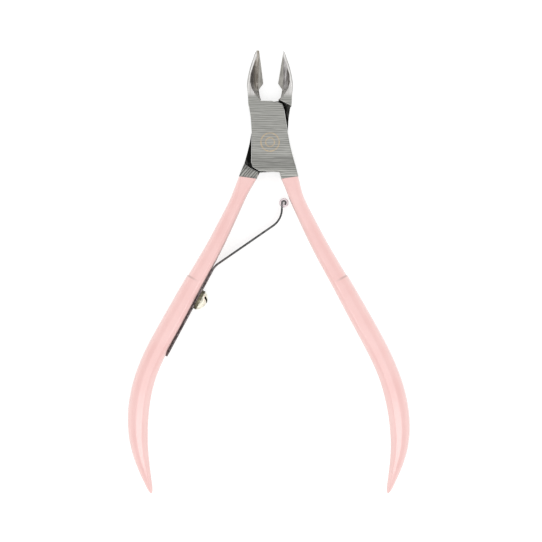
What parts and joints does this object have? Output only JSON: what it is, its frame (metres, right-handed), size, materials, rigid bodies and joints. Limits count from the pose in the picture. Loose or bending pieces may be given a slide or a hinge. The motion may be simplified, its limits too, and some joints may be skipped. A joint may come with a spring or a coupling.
{
  "type": "cuticle nipper",
  "caption": "Lap-joint cuticle nipper with short hollow-ground cutting jaws, coated handles and a leaf spring with a roller that opens it.",
  "frame": {"origin": "centre of the pivot, on the rear face of the joint", "axes": "+Y from the pivot towards the jaws, +Z along the pivot from the rear lever to the front lever, +X towards the front lever's handle"},
  "size_m": [0.0731, 0.1147, 0.0054],
  "materials": {
    "lever_steel": "satin, brushed across the joint",
    "handle_coating": "smooth pale pink, half gloss",
    "rivet_steel": "ground flush and brushed with the lever",
    "spring_steel": "dark tempered spring steel",
    "screw_steel": "polished",
    "roller_steel": "polished"
  },
  "bodies": {
    "rear_half": {"rear_lever": "lever_steel", "rear_handle_coating": "handle_coating", "spring_base": "spring_steel", "spring_screw": "screw_steel"},
    "front_half": {"front_lever": "lever_steel", "front_handle_coating": "handle_coating", "pivot_rivet": "rivet_steel"},
    "spring_arm": {"spring_arm": "spring_steel", "roller_pin": "spring_steel"},
    "roller": {"roller": "roller_steel"}
  },
  "joints": [
    {"name": "pivot", "type": "hinge", "parent": "rear_half", "child": "front_half", "pos_m": [0, 0, 0.0027], "axis": [0, 0, -1], "range_deg": [0, 15.9], "stiffness_Nm_per_rad": 1.4},
    {"name": "spring_flex", "type": "hinge", "parent": "rear_half", "child": "spring_arm", "pos_m": [-0.00804, -0.02927, 0.0027], "axis": [0, 0, 1], "range_deg": [0, 22.3]},
    {"name": "roller_spin", "type": "hinge", "parent": "spring_arm", "child": "roller", "pos_m": [0.00368, -0.0172, 0.0027], "axis": [0, 0, 1], "continuous": true}
  ],
  "couplings": [
    {"joint": "spring_flex", "follows": "pivot", "ratio": 1.4}
  ]
}
